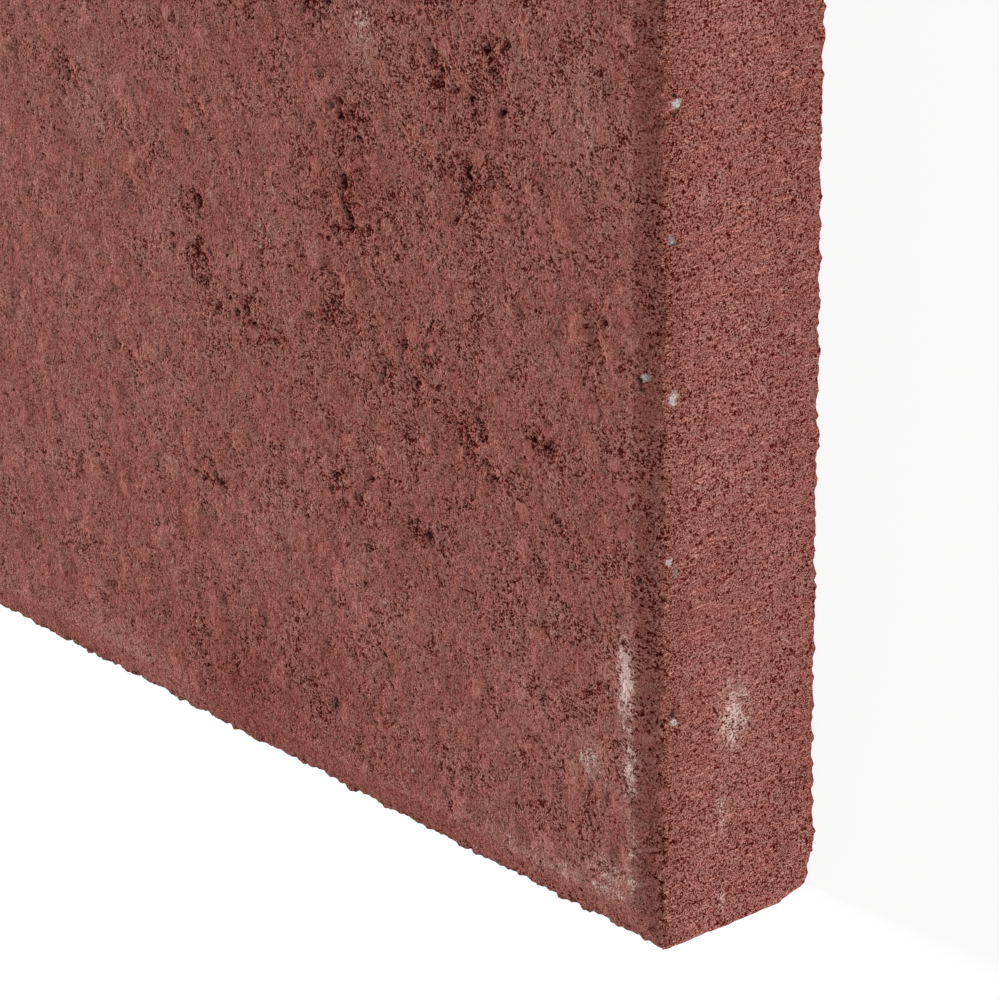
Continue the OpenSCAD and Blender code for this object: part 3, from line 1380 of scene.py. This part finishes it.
@dataclass
class Studio:
    """Pale floor, soft lamps and the camera.

    Attributes:
        eye: Where the camera is, in millimetres.
        aim: What it looks at, in millimetres.
        roll: How far it is tilted, in degrees.
        lens: Its focal length, in millimetres.
        sensor: Width of its sensor, in millimetres.
        clip: How near it starts to see, in metres.
        floor_side: Width of the floor, in metres.
        floor_gap: How far the floor is below the bed, in metres, so that they don't share a plane.
        floor_grey: How pale the floor is to the light.
        seen_grey: How much of the light on it shows to the camera.
        seen_glow: How bright the camera sees it without that.
        sky: Strength of the light from all round.
        lit: What the lamps are aimed at, in millimetres.
        lamps: The lamps.
    """

    eye: Place = (787.0, 303.4, 615.2)
    aim: Place = (106.65, -72.4, 40.0)
    roll: float = 0.665
    lens: float = 188.5
    sensor: float = 36.0
    clip: float = 0.05
    floor_side: float = 12.0
    floor_gap: float = 0.0002
    floor_grey: float = 0.85
    seen_grey: float = 0.12
    seen_glow: float = 0.9
    sky: float = 0.30
    lit: Place = (0.0, 0.0, 20.0)
    lamps: tuple[Lamp, ...] = (
        Lamp("key_lamp", (-0.92, 0.0, 0.345), 8.0, 1.66, 2.2),
        Lamp("side_lamp", (1.0, 0.0, 0.02), 2.4, 0.6, 1.5),
        Lamp("fill_lamp", (0.0, -1.0, 0.3), 2.4, 1.5, 0.3),
    )

    def build(self) -> None:
        """Sets up everything round the slab."""
        self._floor()
        self._world()
        for lamp in self.lamps:
            lamp.hang(Vector(self.lit) * MM)
        self._camera()
        bpy.context.scene.view_settings.view_transform = "Standard"

    def _floor(self) -> None:
        """Lays the white floor, which keeps the slab's shadow."""
        bm = bmesh.new()
        bmesh.ops.create_grid(bm, x_segments=1, y_segments=1, size=self.floor_side / 2)
        bmesh.ops.translate(bm, vec=(0.0, 0.0, -self.floor_gap), verts=bm.verts)
        mesh = bpy.data.meshes.new("floor")
        bm.to_mesh(mesh)
        bm.free()
        made = bpy.data.materials.new("white_floor")
        made.use_nodes = True
        board = Board(made.node_tree)
        seen = self._seen(board)
        plain = board.node("ShaderNodeBsdfDiffuse", {"Color": rgba(grey(self.floor_grey))})
        pale = board.node("ShaderNodeBsdfDiffuse", {"Color": rgba(grey(self.seen_grey))})
        glow = board.node("ShaderNodeEmission", {"Color": rgba(grey(1.0)), "Strength": self.seen_glow})
        lit = board.node("ShaderNodeAddShader", {0: pale.outputs[0], 1: glow.outputs[0]})
        mixed = board.node("ShaderNodeMixShader", {0: seen, 1: plain.outputs[0], 2: lit.outputs[0]})
        board.node("ShaderNodeOutputMaterial", {"Surface": mixed.outputs[0]})
        mesh.materials.append(made)
        floor = bpy.data.objects.new("floor", mesh)
        bpy.context.scene.collection.objects.link(floor)

    @staticmethod
    def _seen(board: Board) -> Socket:
        """1 on a ray from the camera, also by way of a mirror or glass."""
        path = board.node("ShaderNodeLightPath")
        straight = path.outputs["Is Camera Ray"]
        glossy = board.math("MAXIMUM", straight, path.outputs["Is Glossy Ray"])
        return board.math("MAXIMUM", glossy, path.outputs["Is Transmission Ray"])

    def _world(self) -> None:
        """Hangs a white backdrop that lights the slab softly."""
        world = bpy.data.worlds.new("studio")
        world.use_nodes = True
        board = Board(world.node_tree)
        strength = board.node(
            "ShaderNodeMapRange", {"Value": self._seen(board), "To Min": self.sky, "To Max": 1.0},
        ).outputs[0]
        sky = board.node("ShaderNodeBackground", {"Color": rgba(grey(1.0)), "Strength": strength})
        board.node("ShaderNodeOutputWorld", {"Surface": sky.outputs[0]})
        bpy.context.scene.world = world

    def _camera(self) -> None:
        """Places the camera where the photograph was taken from."""
        data = bpy.data.cameras.new("camera")
        data.lens = self.lens
        data.sensor_width = self.sensor
        data.clip_start = self.clip
        eye = Vector(self.eye) * MM
        back = (eye - Vector(self.aim) * MM).normalized()
        right = Vector((0.0, 1.0, 0.0)).cross(back).normalized()
        up = back.cross(right)
        turn = Matrix((right, up, back)).transposed() @ Matrix.Rotation(math.radians(-self.roll), 3, "Z")
        camera = bpy.data.objects.new("camera", data)
        camera.matrix_world = Matrix.Translation(eye) @ turn.to_4x4()
        bpy.context.scene.collection.objects.link(camera)
        bpy.context.scene.camera = camera


def marks() -> list[Mark]:
    """Marks that the photograph shows near the corner at +X, -Y.

    Returns:
        The marks, in millimetres.
    """
    top = 40.0
    side = 150.0
    return [
        Mark(Sign.OPEN, (100.0, -12.0, top), (6.0, 8.0, 2.0), 1.0),
        Mark(Sign.OPEN, (98.0, -64.0, top), (5.0, 7.0, 2.0), 1.0),
        Mark(Sign.OPEN, (65.0, -26.0, top), (8.0, 7.0, 2.0), 0.9),
        Mark(Sign.OPEN, (63.0, -8.0, top), (6.0, 6.0, 2.0), 0.8),
        Mark(Sign.OPEN, (89.0, 6.0, top), (7.0, 8.0, 2.0), 0.7),
        Mark(Sign.OPEN, (105.0, 9.0, top), (4.0, 6.0, 2.0), 0.8),
        Mark(Sign.OPEN, (55.0, 8.0, top), (6.0, 5.0, 2.0), 0.6),
        Mark(Sign.OPEN, (17.0, -46.0, top), (3.0, 10.0, 2.0), 1.0),
        Mark(Sign.OPEN, (32.0, -57.0, top), (7.0, 5.0, 2.0), 0.8),
        Mark(Sign.OPEN, (59.0, -49.0, top), (8.0, 4.0, 2.0), 0.8),
        Mark(Sign.OPEN, (80.0, -52.0, top), (7.0, 5.0, 2.0), 0.6),
        Mark(Sign.OPEN, (63.0, -84.0, top), (8.0, 5.0, 2.0), 0.6),
        Mark(Sign.OPEN, (80.0, -87.0, top), (5.0, 4.0, 2.0), 0.6),
        Mark(Sign.OPEN, (19.0, -94.0, top), (4.0, 4.0, 2.0), 0.8),
        Mark(Sign.OPEN, (-26.0, -21.0, top), (3.0, 5.0, 2.0), 0.8),
        Mark(Sign.OPEN, (121.0, -57.0, top), (5.0, 5.0, 2.0), 0.7),
        Mark(Sign.OPEN, (134.0, -27.0, top), (3.0, 3.0, 2.0), 0.8),
        Mark(Sign.BLOOM, (69.0, 9.0, top), (4.0, 9.0, 2.0), 0.4),
        Mark(Sign.BLOOM, (131.0, 8.0, top), (5.0, 15.0, 2.0), 0.25),
        Mark(Sign.BLOOM, (-18.0, -28.0, top), (9.0, 10.0, 2.0), 0.25),
        Mark(Sign.OPEN, (-40.0, -60.0, top), (60.0, 80.0, 2.0), -0.7),
        Mark(Sign.OPEN, (45.0, -112.0, top), (45.0, 22.0, 2.0), -0.45),
        Mark(Sign.OPEN, (110.0, -118.0, top), (25.0, 22.0, 2.0), -0.3),
        Mark(Sign.OPEN, (10.0, -144.0, top), (130.0, 7.0, 3.0), -0.7),
        Mark(Sign.OPEN, (122.0, -30.0, top), (12.0, 22.0, 2.0), -0.3),
        Mark(Sign.OPEN, (36.0, -22.0, top), (10.0, 20.0, 2.0), -0.4),
        Mark(Sign.OPEN, (90.0, -30.0, top), (10.0, 8.0, 2.0), -0.4),
        Mark(Sign.BLOOM, (141.3, -97.5, top), (2.3, 9.5, 2.0), 1.0),
        Mark(Sign.BLOOM, (142.4, -115.0, top), (1.5, 5.5, 2.0), 1.0),
        Mark(Sign.BLOOM, (118.0, -142.0, top), (14.0, 3.0, 2.0), 0.35),
        Mark(Sign.BLOOM, (142.8, -132.0, top), (1.6, 9.0, 2.0), 0.45),
        Mark(Sign.BLOOM, (131.5, -117.0, top), (3.5, 4.0, 2.0), 0.6),
        Mark(Sign.BLOOM, (137.0, -139.0, top), (7.0, 5.0, 2.0), 0.5),
        Mark(Sign.BLOOM, (122.0, -90.0, top), (2.0, 3.0, 2.0), 0.4),
        Mark(Sign.BLOOM, (side, -107.0, 21.0), (2.0, 8.5, 4.0), 0.75),
        Mark(Sign.BLOOM, (side, -125.5, 23.9), (2.0, 5.0, 1.0), 0.7),
        Mark(Sign.BLOOM, (side, -144.1, 23.7), (2.0, 2.5, 1.0), 0.7),
        Mark(Sign.SHADE, (29.0, -137.0, top), (21.0, 12.0, 3.0), 0.9),
        Mark(Sign.SHADE, (54.0, -121.0, top), (14.0, 9.0, 3.0), 0.3),
        Mark(Sign.SHADE, (67.0, -138.0, top), (10.0, 8.0, 3.0), 0.2),
        Mark(Sign.SHADE, (3.0, -110.0, top), (15.0, 8.0, 3.0), 0.2),
        Mark(Sign.SHADE, (62.0, -24.0, top), (12.0, 8.0, 3.0), 0.3),
        Mark(Sign.SHADE, (72.0, -17.0, top), (8.0, 8.0, 3.0), 0.2),
        Mark(Sign.SHADE, (-22.0, -38.0, top), (26.0, 8.0, 3.0), 0.3),
        Mark(Sign.SHADE, (135.0, -67.0, top), (5.0, 8.0, 3.0), 0.25),
        Mark(Sign.SHADE, (127.0, -50.0, top), (7.0, 20.0, 3.0), -0.25),
        Mark(Sign.SHADE, (127.0, 3.0, top), (7.0, 8.0, 3.0), -0.3),
        Mark(Sign.SHADE, (66.0, 11.0, top), (11.0, 7.0, 3.0), -0.3),
        Mark(Sign.SHADE, (-14.0, -143.0, top), (12.0, 6.0, 3.0), -0.4),
        Mark(Sign.SHADE, (side, -137.0, 19.0), (3.0, 16.0, 8.0), 0.25),
    ]


def knocks() -> list[Knock]:
    """Corners that the photograph shows knocked round.

    Returns:
        The corners, in millimetres.
    """
    return [Knock((150.0, -150.0, 0.0), 8.0, 40)]


def flecks() -> list[Fleck]:
    """Pale stones that the photograph shows along the arris, and painted shade for the small recesses beside
    them.

    Returns:
        The flecks, in millimetres.
    """
    # Painted shade: dark flecks that stand in for the shade inside small recesses beside the stones, which
    # the mesh is too coarse to hold.
    nook_shade = (0.030, 0.014, 0.011)
    return [
        Fleck((149.7, 14.3, 35.5), (1.5, 1.1, 1.0), (0.50, 0.45, 0.42)),
        Fleck((149.8, 15.8, 35.9), (0.7, 0.5, 0.6), nook_shade),
        Fleck((149.8, 12.4, 36.1), (0.7, 0.5, 0.5), nook_shade),
        Fleck((149.6, -10.6, 36.5), (1.3, 1.0, 0.8), (0.20, 0.17, 0.155)),
        Fleck((149.6, -10.4, 36.5), (0.6, 0.4, 0.4), (0.46, 0.42, 0.40)),
        # Painted shade of a small recess beside this stone.
        Fleck((149.6, -11.6, 36.4), (0.8, 0.4, 0.6), (0.060, 0.045, 0.040)),
        Fleck((149.8, -40.5, 36.0), (1.5, 1.9, 0.8), (0.47, 0.40, 0.37)),
        Fleck((145.9, -36.9, 39.3), (0.9, 0.9, 0.9), (0.40, 0.37, 0.35)),
        Fleck((144.9, -37.8, 39.4), (0.6, 1.0, 0.8), nook_shade),
        Fleck((145.4, -39.2, 39.3), (0.8, 0.6, 0.8), nook_shade),
        Fleck((149.4, -72.0, 36.6), (0.8, 0.7, 0.7), (0.46, 0.42, 0.40)),
        Fleck((149.7, -74.0, 35.8), (1.2, 1.1, 0.8), (0.21, 0.18, 0.17)),
        Fleck((144.7, -76.2, 39.2), (0.7, 1.0, 0.8), nook_shade),
        Fleck((149.7, -104.0, 35.7), (1.2, 0.9, 0.9), (0.44, 0.39, 0.36)),
        Fleck((149.7, -102.5, 35.9), (0.8, 0.8, 0.6), nook_shade),
    ]


def main() -> None:
    """Builds the slab and the studio."""
    logging.basicConfig(level=logging.INFO, format="%(name)s: %(message)s")
    low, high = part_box("paving_stone")
    size = (high - low) / MM
    stone = PavingStone(length=size.x, width=size.y, thickness=size.z, marks=marks(), knocks=knocks())
    body = stone.build()
    body.data.materials.append(RedConcrete().material(flecks()))
    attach(body, "root")
    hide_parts("paving_stone")
    LOG.info("%s: %d faces", body.name, len(body.data.polygons))
    Studio().build()


if __name__ == "__main__":
    main()
